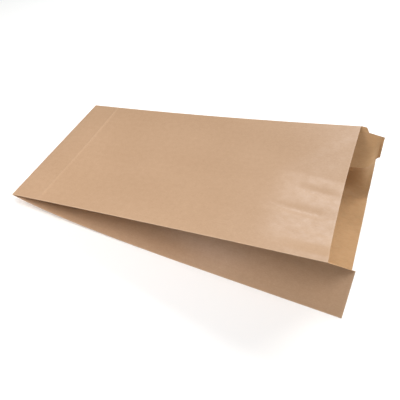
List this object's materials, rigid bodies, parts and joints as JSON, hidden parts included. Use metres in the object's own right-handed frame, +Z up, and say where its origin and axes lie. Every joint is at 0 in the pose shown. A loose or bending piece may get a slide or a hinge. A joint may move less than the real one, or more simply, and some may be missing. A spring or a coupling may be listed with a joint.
{
  "type": "gusseted paper bag",
  "caption": "Flat brown paper bag with inward side gussets, pinched shut at one end, lying on its back with its mouth held open.",
  "frame": {"origin": "middle of the bag's footprint, on the ground that its back panel lies on", "axes": "+X from the shut end to the mouth, +Y across the bag to its far side, +Z up"},
  "size_m": [0.3702, 0.1808, 0.0805],
  "materials": {
    "paper": "matte"
  },
  "bodies": {
    "root": {"paper_bag": "paper"}
  },
  "joints": []
}
